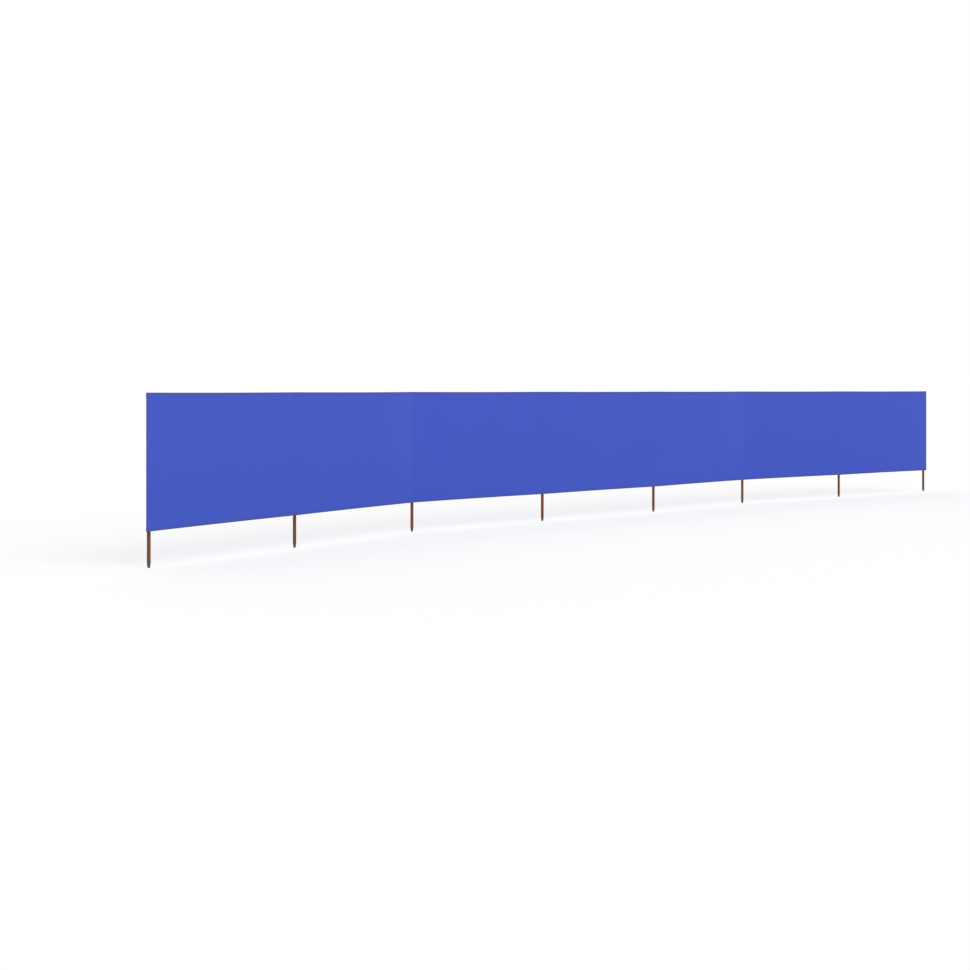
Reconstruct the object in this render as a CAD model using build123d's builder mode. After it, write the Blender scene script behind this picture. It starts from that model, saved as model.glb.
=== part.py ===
"""A beach windbreak: seven bays of taut cloth on eight wooden poles with spiked feet.

Lengths are in millimetres. +X runs along the row, -Y is the side that the photo shows
and +Z is up. The origin is the flat end of the first pole's foot.
"""

from build123d import *
from math import cos, radians, sin, sqrt
import os

# The row in plan. Each bay has a heading, in degrees from +X towards the back (+Y).
bay_length = 1333.0
bay_headings = [12.0, 11.5, -3.5, -3.0, 0.5, -9.0, -8.0]

# Heights
cloth_height = 800.0
leg_length = 211.0

# Poles
pole_diameter = 22.0
pole_top_chamfer = 3.0
tenon_diameter = 15.0
tenon_length = 16.0

# Feet
foot_length = 35.0
foot_collar = 5.0
foot_end_diameter = 14.0
foot_end_chamfer = 3.0

# Cloth, its hems and the pockets that hold the poles
cloth_thickness = 1.0
hem_depth = 28.0
pocket_bend = 4.0
flange_width = 16.0
cloth_end_margin = 3.0

# Clearances: between a pole and its pocket, a tenon and its socket, and pieces sewn together
pocket_fit = 0.5
socket_fit = 0.3
seam_gap = 0.3

# Worked out from the sizes above
cloth_bottom = leg_length
cloth_top = leg_length + cloth_height
pocket_bottom = cloth_bottom + hem_depth + seam_gap
pocket_top = cloth_top - hem_depth - seam_gap
pole_radius = pole_diameter / 2
pole_top = pocket_top - cloth_thickness - seam_gap
foot_top = foot_length
pole_seat = foot_top + socket_fit

# Distances from a pole's axis towards the front, to the faces of the cloth there
hem_face = pole_radius + seam_gap
cloth_back = hem_face + cloth_thickness
cloth_front = cloth_back + cloth_thickness
flange_front = cloth_back - seam_gap
flange_back = flange_front - cloth_thickness

# The loop of a pocket round its pole, and how far its flanges reach along the cloth
loop_inside = pole_radius + pocket_fit
loop_outside = loop_inside + cloth_thickness
bend_reach = sqrt((loop_outside + pocket_bend) ** 2 - (flange_back - pocket_bend) ** 2)
flange_reach = bend_reach + flange_width
cloth_end_reach = flange_reach + cloth_end_margin


def along(heading):
    """The direction of a bay in plan."""
    return Vector(cos(radians(heading)), sin(radians(heading)))


def backwards(heading):
    """The direction square to a bay, away from the photographed side."""
    return Vector(-sin(radians(heading)), cos(radians(heading)))


def stand(place, height=0.0):
    """The level plane at a height, with its origin on the axis of the pole at a place."""
    return Plane(origin=(place.X, place.Y, height))


def pole(place):
    """A round pole with a turned tenon at its foot and a chamfered top."""
    with BuildPart() as rod:
        with BuildSketch(stand(place, pole_seat)):
            Circle(pole_radius)
        extrude(amount=pole_top - pole_seat)
        chamfer(rod.edges().sort_by(Axis.Z)[-1], length=pole_top_chamfer)
        with BuildSketch(stand(place, pole_seat - tenon_length)):
            Circle(tenon_diameter / 2)
        extrude(amount=tenon_length)
    return rod.part


def feet(places):
    """The tapered feet with blunt ends, each with a socket for its pole's tenon."""
    end_radius = foot_end_diameter / 2
    socket_radius = tenon_diameter / 2 + socket_fit
    socket_floor = pole_seat - tenon_length - socket_fit
    with BuildPart() as spikes:
        for place in places:
            section = Plane(origin=(place.X, place.Y, 0), x_dir=(1, 0, 0), z_dir=(0, -1, 0))
            with BuildSketch(section):
                with BuildLine():
                    Polyline(
                        (0, 0),
                        (end_radius, 0),
                        (pole_radius, foot_top - foot_collar),
                        (pole_radius, foot_top),
                        (socket_radius, foot_top),
                        (socket_radius, socket_floor),
                        (0, socket_floor),
                        close=True,
                    )
                make_face()
            revolve(axis=Axis((place.X, place.Y, 0), (0, 0, 1)))
        chamfer(spikes.edges().group_by(Axis.Z)[0], length=foot_end_chamfer)
    return spikes.part


def panel(place, heading, start, end):
    """One bay of cloth with its top and bottom edges folded to the back and hemmed.

    start and end are the planes across the cloth where the bay begins and stops.
    """
    fold_radius = (cloth_front - hem_face) / 2
    fold_middle = (cloth_front + hem_face) / 2
    low = cloth_bottom + fold_radius
    high = cloth_top - fold_radius
    spare = cloth_end_reach + cloth_front
    section = Plane(
        origin=Vector(place.X, place.Y, 0) - along(heading) * spare,
        x_dir=backwards(heading),
        z_dir=along(heading),
    )
    with BuildPart() as cloth:
        with BuildSketch(section):
            with BuildLine():
                Line((-cloth_front, low), (-cloth_front, high))
                ThreePointArc((-cloth_front, high), (-fold_middle, cloth_top), (-hem_face, high))
                Polyline(
                    (-hem_face, high),
                    (-hem_face, cloth_top - hem_depth),
                    (-cloth_back, cloth_top - hem_depth),
                    (-cloth_back, cloth_bottom + hem_depth),
                    (-hem_face, cloth_bottom + hem_depth),
                    (-hem_face, low),
                )
                ThreePointArc((-hem_face, low), (-fold_middle, cloth_bottom), (-cloth_front, low))
            make_face()
        extrude(amount=bay_length + 2 * spare)
        split(bisect_by=start, keep=Keep.TOP)
        split(bisect_by=end, keep=Keep.BOTTOM)
    return cloth.part


def flange_marks(loop_radius, face, bend, heading, side):
    """The points of one face of a pocket's strip on one side of the pole, from the outside in."""
    out = along(heading) * side
    back = backwards(heading)
    flange_end = out * flange_reach - back * face
    bend_start = out * bend_reach - back * face
    bend_centre = bend_start + back * bend
    bend_end = bend_centre * (loop_radius / (loop_radius + bend))
    middle = (bend_start - bend_centre).normalized() + (bend_end - bend_centre).normalized()
    return flange_end, bend_start, bend_centre + middle.normalized() * bend, bend_end


def strip_face(loop_radius, face, bend, left, right):
    """One face of a pocket's strip in plan: flange, bend, loop round the pole, bend, flange."""
    left_end, left_start, left_middle, left_loop = flange_marks(loop_radius, face, bend, left, -1)
    right_end, right_start, right_middle, right_loop = flange_marks(
        loop_radius, face, bend, right, 1
    )
    Line(left_end, left_start)
    ThreePointArc(left_start, left_middle, left_loop)
    ThreePointArc(left_loop, backwards((left + right) / 2) * loop_radius, right_loop)
    ThreePointArc(right_loop, right_middle, right_start)
    Line(right_start, right_end)
    return left_end, right_end


def crease(left, right, face):
    """The point in front of a pole where a face of one bay's cloth meets that of the next."""
    middle = backwards((left + right) / 2)
    return middle * (-face / cos(radians((left - right) / 2)))


def pocket(place, left, right):
    """The strip sewn to the back of the cloth that holds a pole, closed at its top."""
    with BuildPart() as strip:
        with BuildSketch(stand(place, pocket_bottom)):
            with BuildLine():
                back_ends = strip_face(loop_outside, flange_back, pocket_bend, left, right)
                front_ends = strip_face(
                    loop_inside, flange_front, pocket_bend + cloth_thickness, left, right
                )
                Line(back_ends[0], front_ends[0])
                Line(back_ends[1], front_ends[1])
            make_face()
        extrude(amount=pocket_top - pocket_bottom)
        with BuildSketch(stand(place, pocket_top - cloth_thickness)):
            with BuildLine():
                back_ends = strip_face(loop_outside, flange_back, pocket_bend, left, right)
                Polyline(
                    back_ends[0],
                    front_ends[0],
                    crease(left, right, flange_front),
                    front_ends[1],
                    back_ends[1],
                )
            make_face()
        extrude(amount=cloth_thickness)
    return strip.part


def save(piece, name):
    piece.label = name
    export_step(piece, f"parts/{name}.step")


os.makedirs("parts", exist_ok=True)

# The poles stand where the bays meet, so a list of places follows from the headings.
places = [Vector(0, 0, 0)]
for heading in bay_headings:
    places.append(places[-1] + along(heading) * bay_length)

# The bay to the left and to the right of each pole; an end pole has one bay on both.
lefts = [bay_headings[0]] + bay_headings
rights = bay_headings + [bay_headings[-1]]

save(feet(places), "feet")
for number, (place, left, right) in enumerate(zip(places, lefts, rights), start=1):
    save(pole(place), f"pole_{number}")
    save(pocket(place, left, right), f"pocket_{number}")

for index, heading in enumerate(bay_headings):
    first = along((lefts[index] + heading) / 2)
    last = along((heading + rights[index + 1]) / 2)
    before = seam_gap / 2 if index > 0 else -cloth_end_reach
    after = seam_gap / 2 if index < len(bay_headings) - 1 else -cloth_end_reach
    start = Plane(origin=places[index] + first * before, z_dir=first)
    end = Plane(origin=places[index + 1] - last * after, z_dir=last)
    save(panel(places[index], heading, start, end), f"panel_{index + 1}")
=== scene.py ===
"""The looks of a beach windbreak: taut blue cloth in seven bays on eight wooden poles.

Lengths are in metres, in the row frame: +X along the row, -Y the side that the photo
shows, +Z up. Depths are measured backwards from the front face of the cloth.
"""

import math

import bpy
import numpy as np
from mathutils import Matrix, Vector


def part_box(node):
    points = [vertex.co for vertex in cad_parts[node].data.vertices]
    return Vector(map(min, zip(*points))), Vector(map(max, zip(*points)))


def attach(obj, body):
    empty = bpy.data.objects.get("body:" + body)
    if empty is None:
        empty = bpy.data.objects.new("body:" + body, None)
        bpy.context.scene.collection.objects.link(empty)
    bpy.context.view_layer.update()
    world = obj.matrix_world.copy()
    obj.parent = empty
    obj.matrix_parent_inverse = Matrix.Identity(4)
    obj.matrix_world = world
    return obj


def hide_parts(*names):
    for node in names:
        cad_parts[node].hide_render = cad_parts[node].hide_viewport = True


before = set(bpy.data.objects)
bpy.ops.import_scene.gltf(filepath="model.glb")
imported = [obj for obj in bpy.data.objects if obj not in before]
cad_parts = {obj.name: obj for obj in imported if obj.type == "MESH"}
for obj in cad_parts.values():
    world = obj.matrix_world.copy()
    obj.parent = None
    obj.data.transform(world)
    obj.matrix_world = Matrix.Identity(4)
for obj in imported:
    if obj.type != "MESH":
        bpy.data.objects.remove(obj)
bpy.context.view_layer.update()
scene = bpy.context.scene

# The row, and the sizes that its cloth was cut to
POLES = sum(name.startswith("pole_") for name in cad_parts)
BAYS = POLES - 1
BAY_LENGTH = 1.333

# The cloth: its thickness and layers, the distance from a pole's axis to its front face, how far
# it runs past an end pole, its crease at a pole, and how far its edges curve in. A turn of the
# row below STRAIGHT, in radians, makes no crease.
CLOTH = 0.00045
LAYER_GAP = 0.00006
LAYER_PITCH = CLOTH + LAYER_GAP
FRONT_FACE = 0.0128
END_REACH = 0.0339
CREASE_RADIUS = 0.030
STRAIGHT = 1e-4
EDGE_DIP = 0.0015

# Hems, the distances of their rows of stitches from the edge, and the grooves that the thread
# pulls in, with the places of the mesh's rows about one
HEM = 0.028
HEM_TURN = 0.012
HEM_ROWS = (0.0195, 0.0255)
HEM_BACK = CLOTH + 2 * LAYER_PITCH
GROOVE_DEPTH = 0.00013
GROOVE_WIDTH = 0.0009
GROOVE_MARKS = (-0.0022, -0.0008, 0, 0.0008, 0.0022)

# The relief of a stretched bay: its belly, with the share of it that is left at the edges, and
# drag lines that fan out from a point just beyond each corner. It is flat at the pockets.
RELIEF_SEED = 40
BELLY = 0.0012
EDGE_BELLY = 0.4
CORNERS = ((0, 0), (1, 0), (0, 1), (1, 1))
DRAG_LINES = 3
DRAG_COUNTS = (7, 17)
DRAG_DEPTHS = (0.00022, 0.00062)
DRAG_ORIGIN = 0.02
DRAG_REACH = 0.30
RELIEF_RISE = 0.12
FLAT_REACH = 0.034

# Pockets: the middle radius of the loop round a pole and of the bends beside it, the distance
# from the pole's axis to the middle of the flanges, and the places of their edges and seams
LOOP = 0.0122
BEND = 0.004
FLANGE_FACE = 0.01162
BEND_REACH = math.sqrt((LOOP + BEND) ** 2 - (FLANGE_FACE - BEND) ** 2)
FLANGE_END = 0.0306
FLANGE_TURN = 0.012
FOLD_INSET = 0.0003
SEAM_REACH = 0.0225
SEAM_INSET = 0.002
POCKET_HEM = 0.013
POCKET_ROW = 0.0105

# The slack of a pocket: bulges, drag lines, a flared mouth and the groove of its hem. A noise is
# the number of its waves and the range of their rates, and NOISE_SIZES that of their sizes.
# Each pair of a wave is how fast it runs for a radian round the pole and a metre of height.
POCKET_SEED = 300
NOISE_SIZES = (0.4, 1.0)
BULGE_NOISE = (5, (1.0, 3.0))
BULGE_WAVE = ((2, 0), (0, 34))
BULGE_DEPTH, BULGE_SHARPNESS = 0.00034, 1.4
DRAG_NOISE = (6, (0.7, 2.0))
DRAG_WAVE = ((5, 70), (-2, 130))
DRAG_DEPTH = 0.00016
FLARE_DEPTH, FLARE_HEIGHT = 0.0006, 0.011
POCKET_GROOVE = 0.0002
SLACK_START, SLACK_RISE = 0.004, 0.010

# The closed top of a pocket: folds that take in the slack, a round edge, and a lid down to the
# back of the cloth, which ends under the edge of the hem
TOP_INSET = 0.0005
FOLDS = (9, 12)
FOLD_WANDER = 0.10
GATHER_DEPTH, GATHER_HEIGHT = 0.00050, 0.030
GATHER_TAKES = 0.6
LID_ROUND = 0.0032
LID_EDGE = 0.01208
LID_STEPS = 5
LID_SHARES = (0.1, 0.25, 0.42, 0.6, 0.76, 0.9, 1.0)
LID_CLEARANCE = 0.00025
FLANGE_CLEARANCE = 0.00005

# Columns of a bay's mesh as distances from a crease, those past a free end's crease, and the
# even columns and rows in the open cloth
BAY_COLUMNS = (
    0, 0.0006, 0.0014, 0.0026, 0.0045, 0.008, 0.014, SEAM_REACH - 0.002, SEAM_REACH,
    SEAM_REACH + 0.002, FLANGE_END, 0.036, 0.045, 0.058, 0.075,
)
END_COLUMNS = (-END_REACH, -FLANGE_END, -SEAM_REACH, -0.01)
OPEN_REACH, OPEN_COLUMNS = 0.095, 46
OPEN_HEIGHT, OPEN_ROWS = 0.04, 18
FOLD_STEPS, EDGE_STEPS = 5, 6

# Columns of a pocket's mesh, inwards from a flange's edge and then as distances from the pole's
# axis, and its rows, as heights above its mouth and then even ones
TURNED_COLUMNS = (FLANGE_TURN, FLANGE_TURN / 2, 0.0008)
FLANGE_COLUMNS = (
    FLANGE_END - 0.002, 0.0265, SEAM_REACH + 0.0012, SEAM_REACH, SEAM_REACH - 0.0012, 0.0185
)
BEND_COLUMNS, LOOP_COLUMNS = 5, 56
MOUTH_ROWS = (
    0, 0.0006, 0.0025, 0.0055, *(POCKET_ROW + mark for mark in GROOVE_MARKS[:-1]),
    POCKET_HEM - 0.0002, POCKET_HEM + 0.0002, 0.017,
)
WALL_START, WALL_ROWS = 0.024, 54
GATHER_START, GATHER_ROWS = 0.026, 9

# Points nearer than SAME_POINT are one, rows stay ROW_MARGIN apart, and TINY keeps steps above 0
SAME_POINT = 1e-6
ROW_MARGIN = 1e-4
TINY = 1e-12

# Stitches. Their width, rise above the cloth, dip beside the ridge and depth at both ends are
# shares of the thread's radius, and STITCH_SHOULDER is a share of half their length. A line of
# a tack has room for one stitch.
THREAD = 0.00034
STITCH_PITCH = 0.0036
STITCH_LENGTH = 0.0031
STITCH_SHOULDER = 0.55
STITCH_WIDTH, STITCH_RISE, STITCH_DIP, STITCH_SINK = 1.2, 1.7, 0.3, 0.9
HEM_SPOTS, SEAM_LEVELS = 500, 90
TACK_STITCHES = 11
TACK_PITCH = 0.0004
ONE_STITCH_PITCH = STITCH_LENGTH * 0.999

# The overlocked free ends. The corners of a loop are how far each is from the cut edge, whether
# it is behind the cloth, and how far up, as a share of the pitch. No thread runs along ASKEW.
OVERLOCK_PITCH = 0.0026
OVERLOCK_WIDTH = 0.0034
OVERLOCK_START, OVERLOCK_STOP = 0.0012, 0.0028
OVERLOCK_LOOP = (
    (OVERLOCK_WIDTH, False, 0.0), (-THREAD / 2, False, 0.25),
    (-THREAD / 2, True, 0.40), (OVERLOCK_WIDTH, True, 0.65),
)
ASKEW = (0.3, 0.5, 0.8)

# Poles and feet
TENON = 0.0075
TENON_LENGTH = 0.016
TENON_CHAMFER = 0.001
SOCKET_GAP = 0.0003
POLE_CHAMFER = 0.003
FOOT_COLLAR = 0.005
FOOT_END = 0.007
FOOT_BLUNT = 0.003
FOOT_CORE = 0.002
POLE_ROUND, FOOT_ROUND = 0.0010, 0.0012
ROUND_STEPS, ROUND_SHARE = 4, 0.45
TURNED_SIDES = 48
SHARP_ANGLE = 40.0

# Colours
CLOTH_BLUE = (0.059, 0.102, 0.553)
CLOTH_DULL = (0.073, 0.0925, 0.290)
THREAD_BLUE = (0.058, 0.100, 0.54)
WOOD_BROWN = (0.216, 0.0645, 0.0235)
FOOT_OLIVE = (0.100, 0.084, 0.056)

# Painted light and shade on the cloth, as shares of its red, green and blue: a top painted
# lighter, as if lit from above, and a painted patch of light beside each pole where the row turns
# to the front. PALE_SIDES has its strength and reach on the bays after and before the pole. It is
# full from a turn of PALE_TURN, fades in from the height PALE_LOW and widens upwards. In front of
# a pocket the cloth is painted darker, as shade where the pocket stops the light from behind.
TOP_PAINTED_LIGHT = (0.050, 0.036, 0.030)
PAINTED_LIGHT_PATCH = (0.110, 0.060, 0.034)
PALE_REACH = 0.45
PALE_SIDES = ((0.5, 0.3), (1.0, 1.0))
PALE_TURN = 0.15
PALE_LOW, PALE_RISE = 0.10, 0.34
PALE_TIP, PALE_SPREAD, PALE_LEAST = 0.03, 0.6, 0.01
PALE_STEEPNESS = 1.5
POCKET_PAINTED_SHADE, POCKET_BLUR = 0.018, 0.004

# The pitch of the weave, where a pocket's pattern starts, far from any bay's, and a distance
# from the folded edges that dulls nothing
WEAVE_PITCH = 0.0005
POCKET_PATTERN = 10
FAR_FROM_EDGE = 0.1

# The floor, the sky and the camera
WHITE = (1, 1, 1, 1)
FLOOR_REACH = 400.0
FLOOR_GRAY = 0.8
FLOOR_SEEN = 0.35
FLOOR_GLOW = 0.66
SKY = 0.66
CAMERA_PLACE = (-5.0665, -7.5119, 1.0288)
CAMERA_HEADING = -0.8089
CAMERA_LENS = 57.002
CAMERA_SHIFT = -0.09848
CAMERA_FAR = 1000


def unit(vectors):
    return vectors / np.linalg.norm(vectors, axis=-1, keepdims=True)


def backwards(direction):
    """The level direction square to one along the row, away from the photographed side."""
    return np.stack([-direction[..., 1], direction[..., 0]], -1)


def heights_of(node):
    """The lowest and the highest point of a CAD node."""
    low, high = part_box(node)
    return low.z, high.z


# Places that the frame gives

places = np.array([np.mean(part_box(f"pole_{pole + 1}"), axis=0)[:2] for pole in range(POLES)])
pole_radius = np.ptp([corner.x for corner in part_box("pole_1")]) / 2
pole_top = heights_of("pole_1")[1]
foot_top = heights_of("feet")[1]
cloth_low, cloth_high = heights_of("panel_1")
cloth_height = cloth_high - cloth_low
pocket_low, pocket_high = heights_of("pocket_1")
hem_edge = cloth_high - HEM
hem_heights = [cloth_high - row for row in HEM_ROWS] + [cloth_low + row for row in HEM_ROWS]
lid_height = pocket_high - TOP_INSET - CLOTH / 2
wall_top = lid_height - LID_ROUND

# The headings of the bays left and right of each pole, and the sine of the turn between them,
# which is below 0 where the row turns to the front
headings = unit(places[1:] - places[:-1])
lefts = np.vstack([headings[:1], headings])
rights = np.vstack([headings, headings[-1:]])
turns = np.sum(backwards(lefts) * rights, 1)


# Curves and steps


def smoothstep(x):
    x = np.clip(x, 0.0, 1.0)
    return x * x * (3 - 2 * x)


def smooth_noise(rng, count, rates):
    """A smooth periodic function of two numbers, made of seeded waves."""
    rate = rng.uniform(*rates, (count, 2))
    phase = rng.uniform(0, 2 * math.pi, (count, 2))
    size = rng.uniform(*NOISE_SIZES, count)

    def value(*numbers):
        waves = np.sin(np.stack(numbers, -1)[..., None, :] * rate + phase)
        return waves.prod(-1) @ size / size.sum()

    return value


def arc(centre, radius, start, end, steps):
    angles = np.radians(np.linspace(start, end, steps + 1))
    return np.stack([centre[0] + radius * np.cos(angles), centre[1] + radius * np.sin(angles)], 1)


def run(start, end, marks):
    """Points (depth, height) straight down or up between two points, with heights to pass."""
    low, high = sorted((start[1], end[1]))
    passed = (mark for mark in marks if low + ROW_MARGIN < mark < high - ROW_MARGIN)
    inside = sorted(passed, reverse=start[1] > end[1])
    return np.array([start] + [(start[0], mark) for mark in inside] + [end])


def path_length(path):
    """How far along a path each point is, or each row of a grid on each of its columns."""
    steps = np.linalg.norm(np.diff(path, axis=0), axis=-1)
    return np.concatenate([np.zeros_like(steps[:1]), np.cumsum(steps, axis=0)])


# Materials


class Nodes:
    """A short way to build the nodes of a material or a world."""

    def __init__(self, owner):
        owner.use_nodes = True
        self.owner, self.tree = owner, owner.node_tree

    def put(self, socket, value):
        if isinstance(value, bpy.types.NodeSocket):
            self.tree.links.new(value, socket)
        else:
            socket.default_value = value

    def node(self, kind, inputs=None, output=0, **settings):
        """An output of a new node. inputs are constants or other nodes' outputs, by the name
        or the number of their socket."""
        made = self.tree.nodes.new(kind)
        for key, value in settings.items():
            setattr(made, key, value)
        for key, value in (inputs or {}).items():
            self.put(made.inputs[key], value)
        return made.outputs[output]

    def attribute(self, name):
        return self.node("ShaderNodeAttribute", output="Vector", attribute_name=name)

    def object_place(self):
        return self.node("ShaderNodeTexCoord", output="Object")

    def math(self, operation, *values):
        return self.node("ShaderNodeMath", dict(enumerate(values)), operation=operation)

    def product(self, first, *others):
        for other in others:
            first = self.math("MULTIPLY", first, other)
        return first

    def between(self, value, low, high):
        """Goes from low to high as value goes from 0 to 1."""
        return self.math("MULTIPLY_ADD", value, high - low, low)

    def ramp(self, value, low, high, low_out=0.0, high_out=1.0):
        """Goes smoothly from low_out to high_out as value goes from low to high."""
        inputs = dict(enumerate((value, low, high, low_out, high_out)))
        return self.node("ShaderNodeMapRange", inputs, interpolation_type="SMOOTHSTEP")

    def split(self, vector):
        return self.node("ShaderNodeSeparateXYZ", {0: vector}).node.outputs

    def join(self, *coordinates):
        return self.node("ShaderNodeCombineXYZ", dict(enumerate(coordinates)))

    def scaled(self, vector, factors):
        return self.node("ShaderNodeVectorMath", {0: vector, 1: factors}, operation="MULTIPLY")

    def noise(self, vector, scale, detail=2.0, roughness=0.5, axes=None):
        """Noise from 0 to 1. axes are factors of the three coordinates: the pattern is drawn
        out along one that is small."""
        return self.node("ShaderNodeTexNoise", {
            "Vector": self.scaled(vector, axes) if axes else vector,
            "Scale": scale, "Detail": detail, "Roughness": roughness,
        }, output="Fac")

    def tint(self, color, factor):
        """A colour times a number."""
        return self.node("ShaderNodeVectorMath", {0: color, "Scale": factor}, operation="SCALE")

    def mix(self, factor, *colors):
        """From the first colour to the second as factor goes from 0 to 1."""
        first, second = ((*color, 1) if isinstance(color, tuple) else color for color in colors)
        inputs = {"Factor": factor, 6: first, 7: second}
        return self.node("ShaderNodeMix", inputs, output=2, data_type="RGBA")

    def bump(self, height, strength, distance, under=None):
        """Bumps of a height, on top of those that are under them, if any."""
        inputs = {"Height": height, "Strength": strength, "Distance": distance}
        if under:
            inputs["Normal"] = under
        return self.node("ShaderNodeBump", inputs)

    def finish(self, **inputs):
        """The material, once its shader's sockets have what is given by their names."""
        for name, value in inputs.items():
            self.put(self.tree.nodes["Principled BSDF"].inputs[name.replace("_", " ")], value)
        return self.owner

    def show_apart(self, output, light, seen):
        """Sends the light shader to an output, but the seen one where a ray comes from the
        camera, a mirror-like surface or glass."""
        rays = self.node("ShaderNodeLightPath").node.outputs
        mirrored = self.math("MAXIMUM", rays["Is Glossy Ray"], rays["Is Transmission Ray"])
        direct = self.math("MAXIMUM", rays["Is Camera Ray"], mirrored)
        surface = self.node("ShaderNodeMixShader", {0: direct, 1: light, 2: seen})
        self.put(self.tree.nodes[output].inputs["Surface"], surface)
        return self.owner


def paler(color, gain, lift):
    return tuple(min(1.0, share * gain + lift) for share in color)


def plain_weave(nodes, along, up, pitch):
    """Height of a plain weave from 0 to 1: threads that cross over and under each other."""
    x, y = nodes.math("DIVIDE", along, pitch), nodes.math("DIVIDE", up, pitch)

    def rib(value):
        inside = nodes.math("SUBTRACT", nodes.math("FRACT", value), 0.5)
        return nodes.math("COSINE", nodes.product(inside, math.pi))

    across, upright = rib(x), rib(y)
    cell = nodes.math("ADD", nodes.math("FLOOR", x), nodes.math("FLOOR", y))
    over = nodes.math("GREATER_THAN", nodes.math("FRACT", nodes.product(cell, 0.5)), 0.25)
    under = nodes.math("SUBTRACT", 1.0, over)
    warp = nodes.product(across, nodes.between(upright, 0.55, 1.0))
    weft = nodes.product(upright, nodes.between(across, 0.55, 1.0))
    return nodes.math("ADD", nodes.product(warp, over), nodes.product(weft, under))


def cloth_material(base, dull):
    """Matt woven polyester, duller along its folded edges. Its pattern follows the cloth_place
    attribute, in metres: along the cloth, up it, and how far a point is from a folded edge.
    The painted_light_and_shade attribute holds the painted light and shade of its colour."""
    nodes = Nodes(bpy.data.materials.new("woven_blue"))
    along, up, edge = nodes.split(nodes.attribute("cloth_place"))
    painted_light_and_shade = nodes.attribute("painted_light_and_shade")
    weave = plain_weave(nodes, along, up, WEAVE_PITCH)

    def pattern(layer, scale=1.0, **settings):
        """Noise along and up the cloth. On other layers the same noise looks different."""
        return nodes.noise(nodes.join(along, up, layer), scale, **settings)

    broad = pattern(0.0, scale=2.2)
    weft = pattern(0.0, axes=(3.0, 420.0, 1.0))
    warp = pattern(4.0, axes=(420.0, 3.0, 1.0))
    pucker = pattern(1.0, detail=1.0, axes=(130.0, 45.0, 1.0))
    fuzz = pattern(2.0, scale=900.0)
    worn = pattern(9.0, scale=38.0, detail=4.0, roughness=0.6)

    shade = nodes.product(
        nodes.between(broad, 0.982, 1.018),
        nodes.between(weft, 0.9775, 1.0225),
        nodes.between(warp, 0.9825, 1.0175),
        nodes.between(weave, 0.872, 1.092),
        # Painted shade: darker over the hem, whose folded layers let less light through.
        nodes.ramp(edge, HEM - 0.0012, HEM + 0.0012, 0.975, 1.0),
    )
    # Darker, greyer blue in mottled patches towards the folded edges.
    near_edge = nodes.ramp(edge, 0.0035, 0.0175, 1.0, 0.0)
    greyer_edge = nodes.product(near_edge, nodes.between(worn, 0.35, 1.25))
    # The colour is scaled by the painted light and shade of painted_light_and_shade.
    color = nodes.mix(greyer_edge, nodes.tint(nodes.scaled(painted_light_and_shade, base), shade), dull)
    on_edge = nodes.ramp(edge, 0.0, 0.003, 1.0, 0.0)
    rubbed = nodes.product(on_edge, nodes.ramp(worn, 0.56, 0.74), 0.25)
    near_hem = nodes.ramp(edge, HEM + 0.004, HEM + 0.022, 1.0, 0.12)
    puckers = nodes.bump(nodes.product(pucker, near_hem), strength=0.35, distance=0.0009)
    return nodes.finish(
        Base_Color=nodes.mix(rubbed, color, paler(base, 1.6, 0.01)),
        Roughness=nodes.between(fuzz, 0.72, 0.88),
        Normal=nodes.bump(weave, strength=0.45, distance=0.00012, under=puckers),
        Sheen_Weight=0.04,
        Sheen_Roughness=0.5,
        Specular_IOR_Level=0.12,
    )


def thread_material(base):
    """Twisted polyester thread with a slight shine."""
    nodes = Nodes(bpy.data.materials.new("thread"))
    twist = nodes.noise(nodes.object_place(), scale=2600.0, detail=1.0)
    return nodes.finish(
        Base_Color=nodes.tint(base, nodes.between(twist, 0.75, 1.25)),
        Roughness=nodes.between(twist, 0.4, 0.6),
        Normal=nodes.bump(twist, strength=0.4, distance=0.00006),
        Specular_IOR_Level=0.35,
    )


def wood_material(base):
    """Stained round softwood: long grain, darker pores and a satin coat worn in patches. It is
    painted darker just below the cloth, as the cloth's shadow on the pole."""
    nodes = Nodes(bpy.data.materials.new("stained_wood"))
    where = nodes.object_place()
    grain = nodes.noise(where, scale=420.0, detail=4.0, roughness=0.55, axes=(1.0, 1.0, 0.035))
    pores = nodes.noise(where, scale=1500.0, axes=(1.0, 1.0, 0.02))
    broad = nodes.noise(where, scale=16.0, axes=(1.0, 1.0, 0.35))
    worn = nodes.noise(where, scale=60.0, detail=4.0, roughness=0.65)
    ragged = nodes.noise(where, scale=55.0)
    level = nodes.math("MULTIPLY_ADD", ragged, 0.012, nodes.split(where)[2])

    shade = nodes.product(
        nodes.between(grain, 0.725, 1.275),
        nodes.between(broad, 0.85, 1.15),
        nodes.ramp(pores, 0.30, 0.46, 0.72, 1.0),
        # Painted shadow of the cloth: the pole is darker just below it.
        nodes.ramp(level, cloth_low - 0.042, cloth_low - 0.018, 1.0, 0.76),
    )
    patch = nodes.product(nodes.ramp(worn, 0.56, 0.74), 0.35)
    relief = nodes.math("ADD", nodes.product(grain, 0.7), nodes.product(pores, 0.3))
    return nodes.finish(
        Base_Color=nodes.mix(patch, nodes.tint(base, shade), paler(base, 1.5, 0.012)),
        Roughness=nodes.between(grain, 0.42, 0.67),
        Normal=nodes.bump(relief, strength=0.5, distance=0.0002),
        Specular_IOR_Level=0.2,
    )


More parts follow.
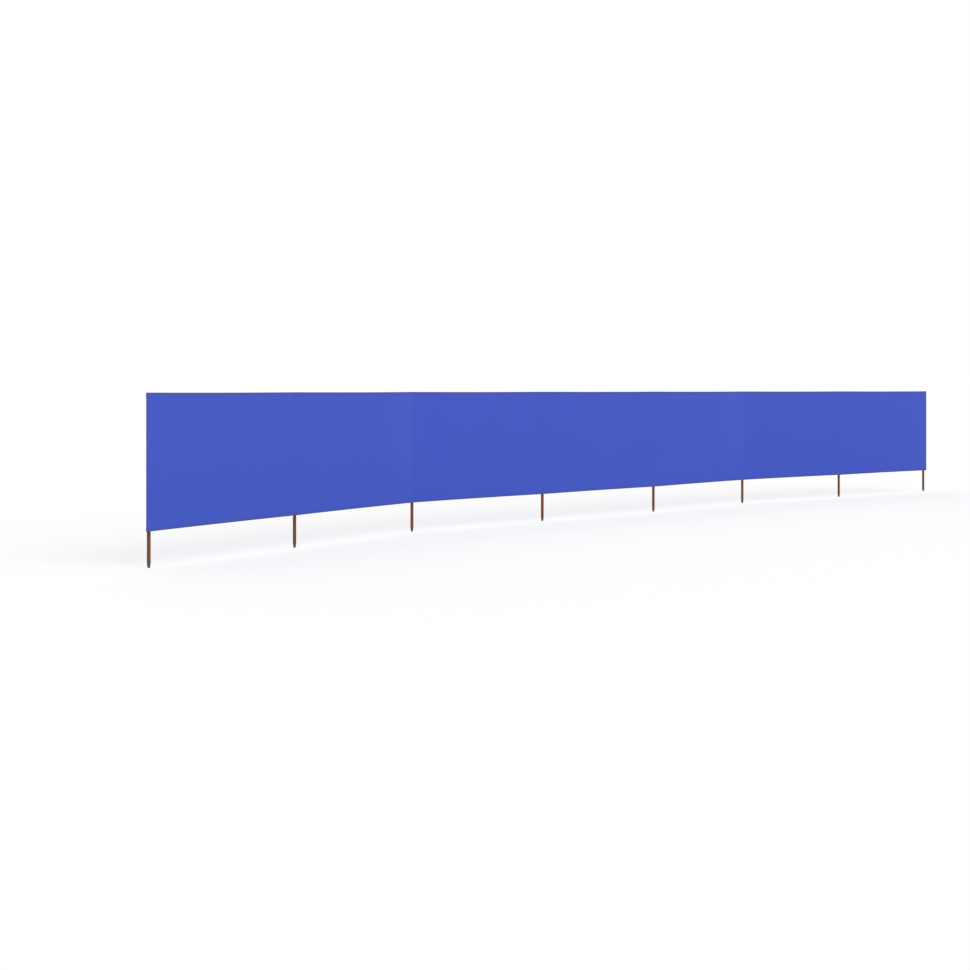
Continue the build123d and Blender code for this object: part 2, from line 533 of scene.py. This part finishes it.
def foot_material(base):
    """Moulded plastic, matt, scuffed towards its end by sand."""
    nodes = Nodes(bpy.data.materials.new("moulded_foot"))
    where = nodes.object_place()
    grain = nodes.noise(where, scale=1800.0)
    scuffs = nodes.noise(where, scale=380.0, detail=4.0, roughness=0.65, axes=(1.0, 1.0, 0.25))
    broad = nodes.noise(where, scale=45.0, detail=3.0)

    low = nodes.ramp(nodes.split(where)[2], 0.002, foot_top - FOOT_COLLAR, 1.0, 0.1)
    worn = nodes.product(nodes.ramp(scuffs, 0.5, 0.66), low)
    color = nodes.tint(base, nodes.between(broad, 0.88, 1.12))
    relief = nodes.math("ADD", nodes.product(grain, 0.4), nodes.product(scuffs, -0.6))
    return nodes.finish(
        Base_Color=nodes.mix(nodes.product(worn, 0.5), color, paler(base, 1.9, 0.02)),
        Roughness=nodes.between(worn, 0.55, 0.80),
        Normal=nodes.bump(relief, strength=0.3, distance=0.0002),
        Specular_IOR_Level=0.2,
    )


cloth = cloth_material(CLOTH_BLUE, CLOTH_DULL)
thread = thread_material(THREAD_BLUE)
wood = wood_material(WOOD_BROWN)
plastic = foot_material(FOOT_OLIVE)


# Meshes


def add_object(name, data):
    made = bpy.data.objects.new(name, data)
    scene.collection.objects.link(made)
    return made


def add_piece(name, points, faces, material, attributes=None):
    """A mesh piece from numpy arrays. faces is a list of arrays of triangles or quads, and
    attributes are vectors at the points, by name, that the material reads."""
    mesh = bpy.data.meshes.new(name)
    face_list = [face for block in faces for face in block.tolist()]
    mesh.from_pydata(points.tolist(), [], face_list, shade_flat=False)
    mesh.validate()
    mesh.set_sharp_from_angle(angle=math.radians(SHARP_ANGLE))
    for key, vectors in (attributes or {}).items():
        layer = mesh.attributes.new(key, "FLOAT_VECTOR", "POINT")
        layer.data.foreach_set("vector", vectors.ravel())
    mesh.materials.append(material)
    piece = add_object(name, mesh)
    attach(piece, "root")
    return piece


def tangents(grid, axis):
    """Unit tangents of a grid of points along an axis, even where the spacing is uneven."""
    steps = unit(np.diff(grid, axis=axis) + TINY)
    first, last = np.take(steps, [0], axis), np.take(steps, [-1], axis)
    return unit(np.concatenate([first, steps], axis) + np.concatenate([steps, last], axis))


def surface_normals(grid):
    return unit(np.cross(tangents(grid, 0), tangents(grid, 1)))


def grid_quads(grid):
    """Faces between the neighbours of a grid of point numbers."""
    corners = grid[:-1, :-1], grid[:-1, 1:], grid[1:, 1:], grid[1:, :-1]
    return np.stack([corner.ravel() for corner in corners], 1)


def shell(grid, thickness, lining):
    """A closed thin solid about a grid of points, as points and faces. lining is what its
    second side is thicker by, as a number or for each point of the grid."""
    normals = surface_normals(grid)
    rows, cols = grid.shape[:2]
    lining = np.broadcast_to(lining, (rows, cols))[:, :, None]
    points = np.concatenate([
        (grid + normals * thickness / 2).reshape(-1, 3),
        (grid - normals * (thickness / 2 + lining)).reshape(-1, 3),
    ])
    index = np.arange(rows * cols).reshape(rows, cols)
    rim = np.concatenate([index[0, :-1], index[:-1, -1], index[-1, :0:-1], index[::-1, 0]])
    index_behind, rim_behind = index + rows * cols, rim + rows * cols
    sides = index.T, index_behind, np.stack([rim, rim_behind])
    return points, [grid_quads(side) for side in sides]


def add_cloth(name, grid, place, painted_light_and_shade, lining=0.0):
    """A piece of cloth about a grid of points. place and painted_light_and_shade, the painted
    light and shade of its colour, are given for each of them.
    """
    points, faces = shell(grid, CLOTH, lining)
    piece = add_piece(name, points, faces, cloth, {
        "cloth_place": np.concatenate([place, place]),
        "painted_light_and_shade": np.concatenate([painted_light_and_shade, painted_light_and_shade]),
    })
    return piece


# The front line of the cloth in plan: straight bays with a soft crease at each pole


def crease_point(pole):
    """The point in front of a pole where the front lines of its two bays would meet."""
    middle = unit(backwards(lefts[pole]) + backwards(rights[pole]))
    return places[pole] - middle * FRONT_FACE / (middle @ backwards(rights[pole]))


def bay_span(bay):
    return np.linalg.norm(crease_point(bay + 1) - crease_point(bay))


def bay_line(bay, spots):
    """Points and backward directions on the front line of a bay. spots run from 0 at the
    crease of the bay's first pole to 1 at that of its second, and past them at a free end."""
    start, length = crease_point(bay), bay_span(bay)
    ahead = (crease_point(bay + 1) - start) / length
    back = backwards(ahead)
    points = start + np.outer(spots * length, ahead)
    lean = np.zeros(len(spots))
    for pole, side, away in ((bay, -1.0, spots), (bay + 1, 1.0, 1 - spots)):
        bend = math.asin(turns[pole])
        if abs(bend) < STRAIGHT:
            continue
        reach = CREASE_RADIUS * math.tan(abs(bend) / 2)
        share = np.maximum(1 - away * length / reach, 0.0)
        lean += share * side * bend / 2
        rise = reach * share**2 * math.tan(abs(bend) / 2) / 2
        points += np.outer(np.sign(bend) * rise, back)
    directions = np.outer(np.cos(lean), back) - np.outer(np.sin(lean), ahead)
    return points, directions


# The relief of stretched cloth


def height_share(heights):
    """Where heights are on the cloth, from 0 at its lower edge to 1 at its upper."""
    return (heights - cloth_low) / cloth_height


def bay_relief(seed):
    """The relief of a bay: faint drag lines from its corners and a slight belly."""
    rng = np.random.default_rng(seed)
    waves = (len(CORNERS), DRAG_LINES)
    belly = rng.uniform(-BELLY, BELLY)
    phases = rng.uniform(0, 2 * math.pi, waves)
    counts = rng.uniform(*DRAG_COUNTS, waves)
    depths = rng.uniform(*DRAG_DEPTHS, waves)

    def depth_at(spots, heights):
        """Metres backwards on the grid of spots (0 to 1 along the bay) and heights."""
        along = np.clip(spots, 0, 1)[:, None]
        up = height_share(heights)
        from_pole = np.minimum(along, 1 - along) * BAY_LENGTH
        at_height = EDGE_BELLY + (1 - EDGE_BELLY) * np.sin(math.pi * up)
        depth = belly * np.sin(math.pi * along) * at_height
        for (x, z), *waves in zip(CORNERS, phases, counts, depths):
            away = np.abs(along - x) * BAY_LENGTH
            rise = np.abs(up - z) * cloth_height
            radius = np.hypot(away, rise)
            angle = np.arctan2(rise, away + DRAG_ORIGIN)
            fade = np.exp(-radius / DRAG_REACH) * smoothstep(radius / RELIEF_RISE)
            for phase, count, size in zip(*waves):
                depth = depth + size * fade * np.cos(count * angle + phase)
        return depth * smoothstep((from_pole - FLAT_REACH) / RELIEF_RISE)

    return depth_at


reliefs = [bay_relief(RELIEF_SEED + bay) for bay in range(BAYS)]


def edge_dip(spots, heights):
    """How far a height moves where the stretched edges curve in between the poles."""
    along = np.clip(spots, 0, 1)[:, None]
    up = height_share(heights)
    return -EDGE_DIP * 4 * along * (1 - along) * (2 * up - 1)


def on_bay(bay, spots, depths, heights):
    """The grid of points at the given spots along a bay and (depth, height) pairs."""
    line, back = bay_line(bay, spots)
    depth = depths + reliefs[bay](spots, heights)
    plan = line[:, None, :] + back[:, None, :] * depth[:, :, None]
    height = heights + edge_dip(spots, heights)
    return np.concatenate([plan, height[:, :, None]], 2)


# Painted light and shade on the cloth


def height_painted_light(heights):
    """Factors of the cloth's red, green and blue on a new last axis: painted light, lighter
    towards the top as if lit from above.
    """
    return 1 + np.multiply(TOP_PAINTED_LIGHT, height_share(heights)[..., None] - 0.5)


def cloth_painted_light_and_shade(bay, spots, heights):
    """Factors of a bay's red, green and blue on its grid, all painted light and shade: lighter
    towards the top as if lit from above, a painted patch of light beside a pole where the row
    turns to the front, and painted shade where a pocket stops the light from behind."""
    painted_light_and_shade = height_painted_light(heights)
    up = height_share(heights)[:, None]
    fade_in = smoothstep((up - PALE_LOW) / PALE_RISE)
    widening = np.clip((up + PALE_TIP) / PALE_SPREAD, PALE_LEAST, 1)
    for pole, share, (strength, reach) in zip((bay, bay + 1), (spots, 1 - spots), PALE_SIDES):
        distance = np.abs(share)[:, None, None] * BAY_LENGTH
        strength = strength * np.clip(-turns[pole] / PALE_TURN, 0, 1) * fade_in
        inside = 1 - distance / (reach * PALE_REACH * widening)
        # Painted light: a lighter patch of cloth beside a pole where the row turns to the front.
        painted_light_and_shade = painted_light_and_shade + np.multiply(PAINTED_LIGHT_PATCH, strength * smoothstep(PALE_STEEPNESS * inside))
        # Painted shade: darker in front of a pocket, which stops the light from behind.
        beyond = smoothstep((distance - FLANGE_END + POCKET_BLUR) / (2 * POCKET_BLUR))
        painted_light_and_shade = painted_light_and_shade * (1 - POCKET_PAINTED_SHADE * (1 - beyond))
    return painted_light_and_shade


# The section of a bay, with a hem along both edges


def hem_runs(marks):
    """The middle line of the upper hem, in parts: from its turned-in edge down to the edge of
    the hem, up behind, and over the fold at the top of the cloth to its front layer."""
    front = CLOTH / 2
    inner, outer = front + LAYER_PITCH, front + 2 * LAYER_PITCH
    low = hem_edge + CLOTH / 2
    fold_low, fold_high = low + LAYER_PITCH / 2, cloth_high - CLOTH / 2 - LAYER_PITCH
    return [
        run((inner, low + HEM_TURN), (inner, fold_low), marks),
        arc(((inner + outer) / 2, fold_low), LAYER_PITCH / 2, 180, 360, FOLD_STEPS),
        run((outer, fold_low), (outer, fold_high), marks),
        arc((inner, fold_high), LAYER_PITCH, 0, 180, EDGE_STEPS),
    ]


def bay_section():
    """The cloth's middle line from its turned-in upper edge to its turned-in lower edge."""
    marks = [height + mark for height in hem_heights for mark in GROOVE_MARKS]
    upper = hem_runs(marks)
    lower = [np.array([0, cloth_low + cloth_high]) + part[::-1] * (1, -1) for part in upper[::-1]]
    open_rows = np.linspace(cloth_low + OPEN_HEIGHT, cloth_high - OPEN_HEIGHT, OPEN_ROWS)
    main = run(tuple(upper[-1][-1]), tuple(lower[0][0]), [*marks, *open_rows])
    parts = np.concatenate([*upper, main, *lower])
    moved = np.linalg.norm(np.diff(parts, axis=0), axis=1) > SAME_POINT
    path = parts[np.concatenate([[True], moved])]
    middle = CLOTH / 2 + LAYER_PITCH
    for height in hem_heights:
        pull = GROOVE_DEPTH * np.exp(-((path[:, 1] - height) / GROOVE_WIDTH) ** 2)
        inwards = middle - path[:, 0]
        path[:, 0] += pull * np.sign(inwards) * (np.abs(inwards) > SAME_POINT)
    return path


def bay_spots(bay):
    """Where a bay's sections stand: close at the creases, seams and free ends, wide between."""
    length = bay_span(bay)
    left = np.array(END_COLUMNS + BAY_COLUMNS if bay == 0 else BAY_COLUMNS)
    right = np.array(END_COLUMNS + BAY_COLUMNS if bay == BAYS - 1 else BAY_COLUMNS)
    middle = np.linspace(OPEN_REACH, length - OPEN_REACH, OPEN_COLUMNS)
    return np.concatenate([left, middle, length - right[::-1]]) / length


# The strip of a pocket in plan, about the pole's axis


def strip_side(heading, side):
    """One side of the strip, -1 left or 1 right of the pole, from the outside in: its turned-in
    edge, the fold, the flange against the cloth and the bend away from it."""
    out, back = heading * side, backwards(heading)
    fold = (FLANGE_END - FOLD_INSET, FLANGE_FACE + LAYER_PITCH / 2)
    marks = np.concatenate([
        [(FLANGE_END - inwards, FLANGE_FACE + LAYER_PITCH) for inwards in TURNED_COLUMNS],
        arc(fold, LAYER_PITCH / 2, 90, -90, FOLD_STEPS),
        [(across, FLANGE_FACE) for across in (*FLANGE_COLUMNS, BEND_REACH)],
    ])
    flange = np.outer(marks[:, 0], out) - np.outer(marks[:, 1], back)
    centre = out * BEND_REACH - back * (FLANGE_FACE - BEND)
    meets_loop = -math.pi - math.atan2(FLANGE_FACE - BEND, BEND_REACH)
    angles = np.linspace(-math.pi / 2, meets_loop, BEND_COLUMNS + 1)[1:]
    bend = centre + BEND * (np.outer(np.cos(angles), out) + np.outer(np.sin(angles), back))
    return np.concatenate([flange, bend])


def strip_path(pole):
    """The strip's middle line from one turned-in edge to the other, and which of its points
    belong to the loop round the pole."""
    left, right = strip_side(lefts[pole], -1), strip_side(rights[pole], 1)
    start = math.atan2(left[-1][1], left[-1][0]) % (2 * math.pi)
    stop = math.atan2(right[-1][1], right[-1][0])
    angles = np.linspace(start, stop, LOOP_COLUMNS + 2)[1:-1]
    loop = LOOP * np.stack([np.cos(angles), np.sin(angles)], 1)
    path = np.concatenate([left, loop, right[::-1]])
    in_loop = np.zeros(len(path), bool)
    in_loop[len(left) - BEND_COLUMNS:len(path) - len(right) + BEND_COLUMNS] = True
    return path, in_loop


class Pocket:
    """The middle surface of a pocket, in rows up the pole and columns along its strip."""

    def __init__(self, pole):
        rng = np.random.default_rng(POCKET_SEED + pole)
        self.bulge = smooth_noise(rng, *BULGE_NOISE)
        self.drag = smooth_noise(rng, *DRAG_NOISE)
        folds = rng.integers(*FOLDS)
        fold_phase, fold_drift = rng.uniform(0, 2 * math.pi, 2)
        self.pole = pole
        self.path, self.in_loop = strip_path(pole)
        self.middle = unit(lefts[pole] + rights[pole])
        self.back = backwards(self.middle)
        self.angle = np.arctan2(self.path @ self.middle, self.path @ self.back)
        behind = smoothstep((self.path @ self.back + SLACK_START) / SLACK_RISE)
        self.slack = np.where(self.in_loop, behind, 0.0)
        wander = self.angle + FOLD_WANDER * np.sin(2 * self.angle + fold_drift)
        waves = 0.5 + 0.5 * np.cos(2 * folds * wander + fold_phase)
        self.gather = GATHER_DEPTH * self.slack * waves

    def wave(self, noise, waves, height):
        return noise(*(turn * self.angle + rise * height for turn, rise in waves))

    def wall_row(self, height):
        """A row round the pole: slack cloth, taken in by the folds towards the top."""
        up = height - pocket_low
        bulge = np.tanh(BULGE_SHARPNESS * self.wave(self.bulge, BULGE_WAVE, height))
        loose = BULGE_DEPTH * (1 + bulge)
        loose += DRAG_DEPTH * (1 + self.wave(self.drag, DRAG_WAVE, height))
        loose += FLARE_DEPTH * math.exp(-((up / FLARE_HEIGHT) ** 2))
        loose -= POCKET_GROOVE * math.exp(-(((up - POCKET_ROW) / GROOVE_WIDTH) ** 2))
        taken_in = smoothstep((height - wall_top + GATHER_HEIGHT) / GATHER_HEIGHT)
        offset = loose * self.slack * (1 - GATHER_TAKES * taken_in) + self.gather * taken_in
        plan = self.path + unit(self.path) * offset[:, None]
        return np.column_stack([plan, np.full(len(plan), height)])

    def closing_line(self):
        """Where the loop's columns end when the pocket is closed over the pole: on the cloth's
        back, on both sides of its crease."""
        left, right = lefts[self.pole], rights[self.pole]
        inside = np.flatnonzero(self.in_loop)
        before, after = self.path[inside[0] - 1], self.path[inside[-1] + 1]
        corners = np.array([
            left * (before @ left) - backwards(left) * LID_EDGE,
            -self.back * LID_EDGE / (self.back @ backwards(left)),
            right * (after @ right) - backwards(right) * LID_EDGE,
        ])
        lengths = path_length(corners)
        spots = np.linspace(0, lengths[-1], len(inside) + 2)[1:-1]
        ends = self.path.copy()
        ends[inside] = np.stack([np.interp(spots, lengths, axis) for axis in corners.T], 1)
        return ends

    def lid_rows(self, wall):
        """Rows from the wall's last one: round over its edge, then over the pole's end down to
        the closing line. The flanges beside them run straight up."""
        across, depth = wall[:, :2] @ self.middle, wall[:, :2] @ self.back
        closed = self.closing_line()
        closed_across, closed_depth = closed @ self.middle, closed @ self.back
        rounding = np.minimum(LID_ROUND, (depth + LID_EDGE) / 2)
        shapes = []
        for turn in np.linspace(0, math.pi / 2, LID_STEPS + 1)[1:]:
            shapes.append((
                across,
                depth - rounding * (1 - math.cos(turn)),
                wall_top + (LID_ROUND + self.gather) * math.sin(turn),
            ))
        for share in LID_SHARES:
            rise = (hem_edge - LID_CLEARANCE - lid_height) * share**2
            shapes.append((
                across + (closed_across - across) * smoothstep(share),
                depth - rounding + (closed_depth - depth + rounding) * share,
                lid_height + rise + self.gather * (1 - share) * (1 - 0.5 * share),
            ))
        rows = []
        for step, (new_across, new_depth, height) in enumerate(shapes, start=1):
            plan = np.outer(new_across, self.middle) + np.outer(new_depth, self.back)
            plan = np.where(self.in_loop[:, None], plan, wall[:, :2])
            beside = wall_top + (hem_edge - FLANGE_CLEARANCE - wall_top) * step / len(shapes)
            rows.append(np.column_stack([plan, np.where(self.in_loop, height, beside)]))
        return rows

    def grid(self):
        heights = np.concatenate([
            pocket_low + np.array(MOUTH_ROWS),
            np.linspace(pocket_low + WALL_START, wall_top - GATHER_HEIGHT, WALL_ROWS),
            np.linspace(wall_top - GATHER_START, wall_top, GATHER_ROWS),
        ])
        rows = [self.wall_row(height) for height in heights]
        rows += self.lid_rows(rows[-1])
        return np.array(rows) + [*places[self.pole], 0]


# Thread. Each row of stitches is its points and arrays of its faces.


def stitch_row(points, normals, pitch=STITCH_PITCH):
    """Closed stitches on a line of surface points. The eight points of each are its start in
    the cloth, three round both shoulders of its ridge, and its end in the cloth."""
    lengths = path_length(points)
    count = int(lengths[-1] / pitch)
    middles = (np.arange(count) + 0.5) * pitch + (lengths[-1] - count * pitch) / 2

    def at(spots, values):
        return np.stack([np.interp(spots, lengths, axis) for axis in values.T], 1)

    half, radius = STITCH_LENGTH / 2, THREAD / 2
    start, end = at(middles - half, points), at(middles + half, points)
    out = unit(at(middles, normals))
    side = np.cross(unit(end - start), out) * radius * STITCH_WIDTH
    shoulders = []
    for offset in (-STITCH_SHOULDER * half, STITCH_SHOULDER * half):
        surface = at(middles + offset, points)
        low = surface - out * radius * STITCH_DIP
        shoulders += [surface + out * radius * STITCH_RISE, low + side, low - side]
    sink = out * radius * STITCH_SINK
    stitches = np.stack([start - sink, *shoulders, end - sink], 1)
    first = np.arange(count)[:, None] * stitches.shape[1]
    faces = []
    for corner in range(3):
        after = (corner + 1) % 3
        faces.append(first + [0, 1 + after, 1 + corner])
        faces.append(first + [7, 4 + corner, 4 + after])
        faces.append(first + [1 + corner, 1 + after, 4 + after, 4 + corner])
    return stitches.reshape(-1, 3), faces


def bar_tack(centre, across, out):
    """A short dense tack that locks the end of a seam, as rows of one stitch each."""
    rows = []
    for stitch in range(TACK_STITCHES):
        middle = centre + [0, 0, (stitch - TACK_STITCHES / 2) * TACK_PITCH] + out * THREAD / 2
        reach = across * STITCH_LENGTH / 2
        ends = np.array([middle - reach, middle + reach])
        rows.append(stitch_row(ends, np.array([out, out]), ONE_STITCH_PITCH))
    return rows


def tube(path, radius):
    """A square-sided tube along a path, fine enough to pass for thread."""
    ahead = tangents(path[:, None], 0)[:, 0]
    sides = [unit(np.cross(ahead[0], ASKEW))]
    for direction in ahead[1:]:
        sides.append(unit(sides[-1] - direction * (sides[-1] @ direction)))
    side = np.array(sides)
    up = np.cross(ahead, side)
    rings = np.stack([path + radius * way for way in (side, up, -side, -up)], 1)
    first = np.arange(len(path) - 1)[:, None] * 4
    last = (len(path) - 1) * 4
    faces = [np.array([[3, 2, 1, 0], [last, last + 1, last + 2, last + 3]])]
    for corner in range(4):
        after = (corner + 1) % 4
        faces.append(first + [corner, after, after + 4, corner + 4])
    return rings.reshape(-1, 3), faces


def overlock(bay, side):
    """Thread looped over the cut edge at a free end of the row, and the seams that hold it.
    side is -1 at the row's first end and 1 at its last."""
    levels = np.arange(cloth_low + OVERLOCK_START, cloth_high - OVERLOCK_STOP, OVERLOCK_PITCH)

    def place(inset, behind, rise):
        """Points on the front or the back of the cloth, one for every turn of the thread."""
        heights = levels + rise * OVERLOCK_PITCH
        hemmed = np.minimum(heights - cloth_low, cloth_high - heights) < HEM
        face = np.where(hemmed, HEM_BACK, CLOTH) + THREAD / 2
        depths = face if behind else np.full(len(heights), -THREAD / 2)
        reach = (END_REACH - inset) / bay_span(bay)
        spot = -reach if side < 0 else 1 + reach
        return on_bay(bay, np.array([spot]), depths, heights)[0]

    loops = np.stack([place(*corner) for corner in OVERLOCK_LOOP], 1).reshape(-1, 3)
    out = np.tile([*-backwards(headings[bay]), 0.0], (len(levels), 1))
    return [
        tube(loops, THREAD / 2),
        stitch_row(place(OVERLOCK_WIDTH, False, 0.0), out),
        stitch_row(place(OVERLOCK_WIDTH, True, 0.0), -out),
    ]


def hem_stitches(bay, spots):
    """Both hems' rows of stitches on the front and the back, between the bay's outer spots."""
    fine = np.linspace(spots[0], spots[-1], HEM_SPOTS)
    back = np.column_stack([bay_line(bay, fine)[1], np.zeros(len(fine))])
    rows = []
    for height in hem_heights:
        for depth, out in ((GROOVE_DEPTH, -back), (HEM_BACK - GROOVE_DEPTH, back)):
            line = on_bay(bay, fine, np.array([depth]), np.array([height]))[:, 0]
            rows.append(stitch_row(line, out))
    return rows


def flange_stitches(pole):
    """The seams of a pocket's flanges on the front and the back, with a tack at each end."""
    levels = np.linspace(pocket_low + SEAM_INSET, pocket_high - SEAM_INSET, SEAM_LEVELS)
    rows = []
    for heading, side in ((lefts[pole], -1.0), (rights[pole], 1.0)):
        back = backwards(heading)
        seam = places[pole] + heading * side * SEAM_REACH
        for face, out in ((FRONT_FACE, -back), (FLANGE_FACE - CLOTH / 2, back)):
            line = np.column_stack([np.tile(seam - back * face, (len(levels), 1)), levels])
            normals = np.tile([*out, 0.0], (len(levels), 1))
            rows.append(stitch_row(line, normals))
            for level in (levels[0] + SEAM_INSET, levels[-1] - SEAM_INSET):
                centre = np.array([*(seam - back * face), level])
                rows += bar_tack(centre, np.array([*heading, 0.0]), normals[0])
    return rows


def mouth_stitches(grid, in_loop):
    """The row of stitches in the hem at a pocket's mouth."""
    row = np.argmin(np.abs(grid[:, 0, 2] - pocket_low - POCKET_ROW))
    normals = surface_normals(grid)[row, in_loop]
    return stitch_row(grid[row, in_loop] + normals * CLOTH / 2, normals)


def add_thread(name, rows):
    """One piece of all the thread in rows of stitches."""
    starts = np.cumsum([0] + [len(points) for points, _ in rows])
    faces = [block + start for (_, blocks), start in zip(rows, starts) for block in blocks]
    piece = add_piece(name, np.concatenate([points for points, _ in rows]), faces, thread)
    return piece


# Turned shapes


def rounded(profile, radius):
    """A (radius, height) line with its inner corners rounded."""
    profile = np.array(profile)
    line = [profile[0]]
    for before, corner, after in zip(profile, profile[1:], profile[2:]):
        shorter = min(np.linalg.norm(before - corner), np.linalg.norm(after - corner))
        reach = min(radius, shorter * ROUND_SHARE)
        start, end = corner + unit(before - corner) * reach, corner + unit(after - corner) * reach
        for share in np.linspace(0, 1, ROUND_STEPS + 1):
            first, second = (1 - share) ** 2 * start, 2 * share * (1 - share) * corner
            line.append(first + second + share**2 * end)
    line.append(profile[-1])
    return line


def turned(name, centre, profile, material):
    """A lathe shape about a vertical axis from (radius, height) points, closed at both ends."""
    radii, heights = np.array(profile).T[:, :, None]
    angles = np.linspace(0, 2 * math.pi, TURNED_SIDES, endpoint=False)
    rings = np.stack(np.broadcast_arrays(
        centre[0] + radii * np.cos(angles), centre[1] + radii * np.sin(angles), heights
    ), -1)
    ends = [[*centre, heights[0, 0]], [*centre, heights[-1, 0]]]
    index = np.arange(radii.size * TURNED_SIDES).reshape(-1, TURNED_SIDES)
    index = np.column_stack([index, index[:, 0]])
    low, high = index[0], index[-1]
    low_end, high_end = index.max() + 1, index.max() + 2
    return add_piece(name, np.concatenate([rings.reshape(-1, 3), ends]), [
        grid_quads(index),
        np.column_stack([np.full(TURNED_SIDES, low_end), low[1:], low[:-1]]),
        np.column_stack([np.full(TURNED_SIDES, high_end), high[:-1], high[1:]]),
    ], material)


# The pieces


def make_bay(bay, section):
    """One bay of cloth with its hems, and the thread in it."""
    spots = bay_spots(bay)
    depths, heights = section.T
    from_edge = np.minimum(cloth_high - heights, heights - cloth_low)
    along = (spots + bay) * BAY_LENGTH
    place = np.stack(np.broadcast_arrays(along[:, None], path_length(section), from_edge), -1)
    grid = on_bay(bay, spots, depths, heights)
    piece = add_cloth(f"bay_cloth_{bay + 1}", grid, place, cloth_painted_light_and_shade(bay, spots, heights))
    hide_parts(f"panel_{bay + 1}")

    rows = hem_stitches(bay, spots)
    if bay == 0:
        rows += overlock(bay, -1)
    if bay == BAYS - 1:
        rows += overlock(bay, 1)
    hem_thread = add_thread(f"hem_thread_{bay + 1}", rows)


def make_pocket(pole):
    """One pocket with a doubled hem at its mouth, and the thread in it."""
    pocket = Pocket(pole)
    grid = pocket.grid()
    doubled = pocket.in_loop & (grid[:, :, 2] < pocket_low + POCKET_HEM)
    along = path_length(grid[0]) + POCKET_PATTERN + pole
    place = np.stack(np.broadcast_arrays(along, path_length(grid), FAR_FROM_EDGE), -1)
    # Painted light: the pocket's colour is painted lighter towards the top, as if lit from above.
    painted_light_and_shade = height_painted_light(grid[:, :, 2])
    piece = add_cloth(f"pocket_cloth_{pole + 1}", grid, place, painted_light_and_shade, lining=doubled * CLOTH)
    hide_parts(f"pocket_{pole + 1}")

    rows = flange_stitches(pole) + [mouth_stitches(grid, pocket.in_loop)]
    seam_thread = add_thread(f"pocket_thread_{pole + 1}", rows)


def make_pole(pole):
    """One round pole with a tenon at its foot and a chamfered top."""
    seat = foot_top + SOCKET_GAP
    rod = rounded([
        (TENON - TENON_CHAMFER, seat - TENON_LENGTH),
        (TENON, seat - TENON_LENGTH + TENON_CHAMFER),
        (TENON, seat), (pole_radius, seat),
        (pole_radius, pole_top - POLE_CHAMFER),
        (pole_radius - POLE_CHAMFER, pole_top), (POLE_CHAMFER, pole_top),
    ], POLE_ROUND)
    piece = turned(f"pole_wood_{pole + 1}", places[pole], rod, wood)
    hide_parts(f"pole_{pole + 1}")


def make_foot(pole):
    """One tapered foot with a blunt end and a socket for its pole's tenon."""
    slope = (pole_radius - FOOT_END) / (foot_top - FOOT_COLLAR)
    socket = TENON + SOCKET_GAP
    cap = rounded([
        (FOOT_CORE, 0.0), (FOOT_END - FOOT_BLUNT, 0.0),
        (FOOT_END + slope * FOOT_BLUNT, FOOT_BLUNT),
        (pole_radius, foot_top - FOOT_COLLAR), (pole_radius, foot_top),
        (socket, foot_top), (socket, foot_top - TENON_LENGTH),
        (FOOT_CORE, foot_top - TENON_LENGTH),
    ], FOOT_ROUND)
    piece = turned(f"foot_cap_{pole + 1}", places[pole], cap, plastic)
    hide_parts("feet")


section = bay_section()

for bay in range(BAYS):
    make_bay(bay, section)

for pole in range(POLES):
    make_pocket(pole)
    make_pole(pole)
    make_foot(pole)


# The floor, the light and the camera


def floor_material():
    """Pale and plain. Seen directly it is white where nothing shades it."""
    nodes = Nodes(bpy.data.materials.new("pale_floor"))

    def paint(gray):
        return nodes.node("ShaderNodeBsdfDiffuse", {"Color": (gray, gray, gray, 1)})

    glow = nodes.node("ShaderNodeEmission", {"Strength": FLOOR_GLOW})
    seen = nodes.node("ShaderNodeAddShader", {0: paint(FLOOR_SEEN), 1: glow})
    return nodes.show_apart("Material Output", paint(FLOOR_GRAY), seen)


def add_floor():
    """A level square under the part."""
    mesh = bpy.data.meshes.new("floor")
    corners = [(-1, -1), (1, -1), (1, 1), (-1, 1)]
    mesh.from_pydata([(x * FLOOR_REACH, y * FLOOR_REACH, 0) for x, y in corners], [], [range(4)])
    mesh.materials.append(floor_material())
    add_object("floor", mesh)


def add_sky():
    """Even light from all around. Seen directly it is white."""
    nodes = Nodes(bpy.data.worlds.new("studio"))
    light = nodes.tree.nodes["Background"]
    nodes.put(light.inputs["Color"], WHITE)
    nodes.put(light.inputs["Strength"], SKY)
    white = nodes.node("ShaderNodeBackground", {"Color": WHITE})
    scene.world = nodes.show_apart("World Output", light.outputs[0], white)


def add_sun(name, toward, strength, softness):
    """A soft sun that shines along a direction. softness is its disc's width in degrees."""
    data = bpy.data.lights.new(name, "SUN")
    data.energy = strength
    data.angle = math.radians(softness)
    x, y, z = toward
    tilt, heading = math.atan2(math.hypot(x, y), -z), -math.atan2(x, y)
    add_object(name, data).rotation_euler = (tilt, 0, heading)


def add_camera():
    """A level camera. Its shift puts the row as high in the picture as in the photo."""
    data = bpy.data.cameras.new("camera")
    data.lens = CAMERA_LENS
    data.shift_y = CAMERA_SHIFT
    data.clip_end = CAMERA_FAR
    scene.camera = add_object("camera", data)
    scene.camera.location = CAMERA_PLACE
    scene.camera.rotation_euler = (math.pi / 2, 0, CAMERA_HEADING)


add_floor()
add_sky()
add_sun("key", toward=(-0.04, 0.85, -0.62), strength=1.10, softness=45)
add_sun("fill", toward=(-0.3, -0.75, -0.60), strength=0.55, softness=60)
add_camera()

scene.view_settings.view_transform = "Standard"

bpy.context.view_layer.update()
